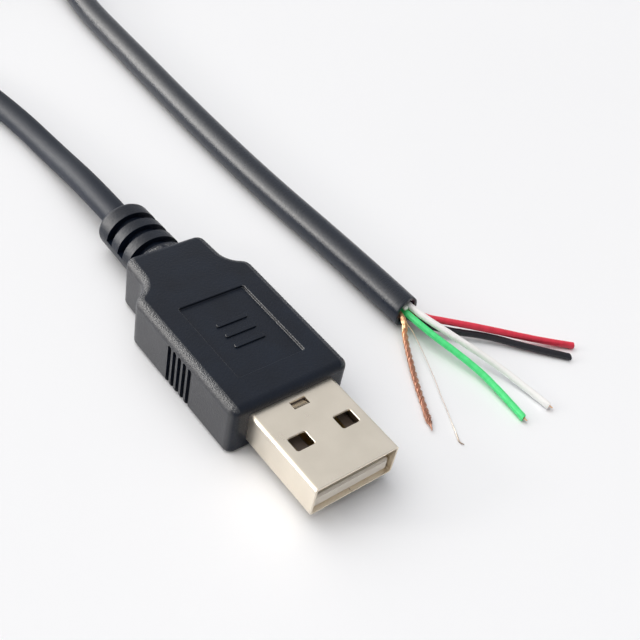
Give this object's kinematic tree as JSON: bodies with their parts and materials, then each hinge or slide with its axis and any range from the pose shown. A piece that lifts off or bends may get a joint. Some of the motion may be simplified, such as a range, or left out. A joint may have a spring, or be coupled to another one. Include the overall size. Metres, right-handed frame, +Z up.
{
  "type": "usb pigtail cable",
  "caption": "Black moulded type A USB plug on a round cable, whose far end is cut off with its cores bared.",
  "frame": {"origin": "on the surface it lies on, under the middle of the plug from its open tip to the strain relief's end", "axes": "+X across the plug, +Y from the plug's open tip towards the cable, +Z up, out of the plug's upper face"},
  "size_m": [0.0628, 0.1952, 0.0084],
  "materials": {
    "pvc_body": "satin, finely textured",
    "cable_jacket": "satin",
    "nickel_shell": "nickel plated, satin",
    "insulator_plastic": "pale beige, matte",
    "contact_gold": "gold plated",
    "solder": "satin",
    "core_red": "satin",
    "core_black": "satin",
    "core_white": "satin, slightly translucent",
    "core_green": "satin",
    "copper": "bare copper strands",
    "tinned_copper": "thin bright wire",
    "filler": "pale polypropylene cord",
    "inner_filling": "pale polyethylene",
    "shield_steel": "tinned sheet"
  },
  "bodies": {
    "root": {"shell": "nickel_shell", "insulator": "insulator_plastic", "overmould": "pvc_body", "rear_shield_upper": "shield_steel", "rear_shield_lower": "shield_steel", "inner_mould": "inner_filling", "solder_joints": "solder", "plug_conductors": "copper", "jacket_in_plug": "cable_jacket", "cable_plug_side": "cable_jacket", "cable_coil": "cable_jacket", "cable_pigtail_side": "cable_jacket", "shield_strands": "copper", "drain_wire": "tinned_copper", "filler_cord": "filler", "contact_ground": "contact_gold", "contact_data_plus": "contact_gold", "contact_data_minus": "contact_gold", "contact_vbus": "contact_gold", "plug_core_red": "core_red", "core_red": "core_red", "conductor_red": "copper", "plug_core_black": "core_black", "core_black": "core_black", "conductor_black": "copper", "plug_core_white": "core_white", "core_white": "core_white", "conductor_white": "copper", "plug_core_green": "core_green", "core_green": "core_green", "conductor_green": "copper"}
  },
  "joints": []
}
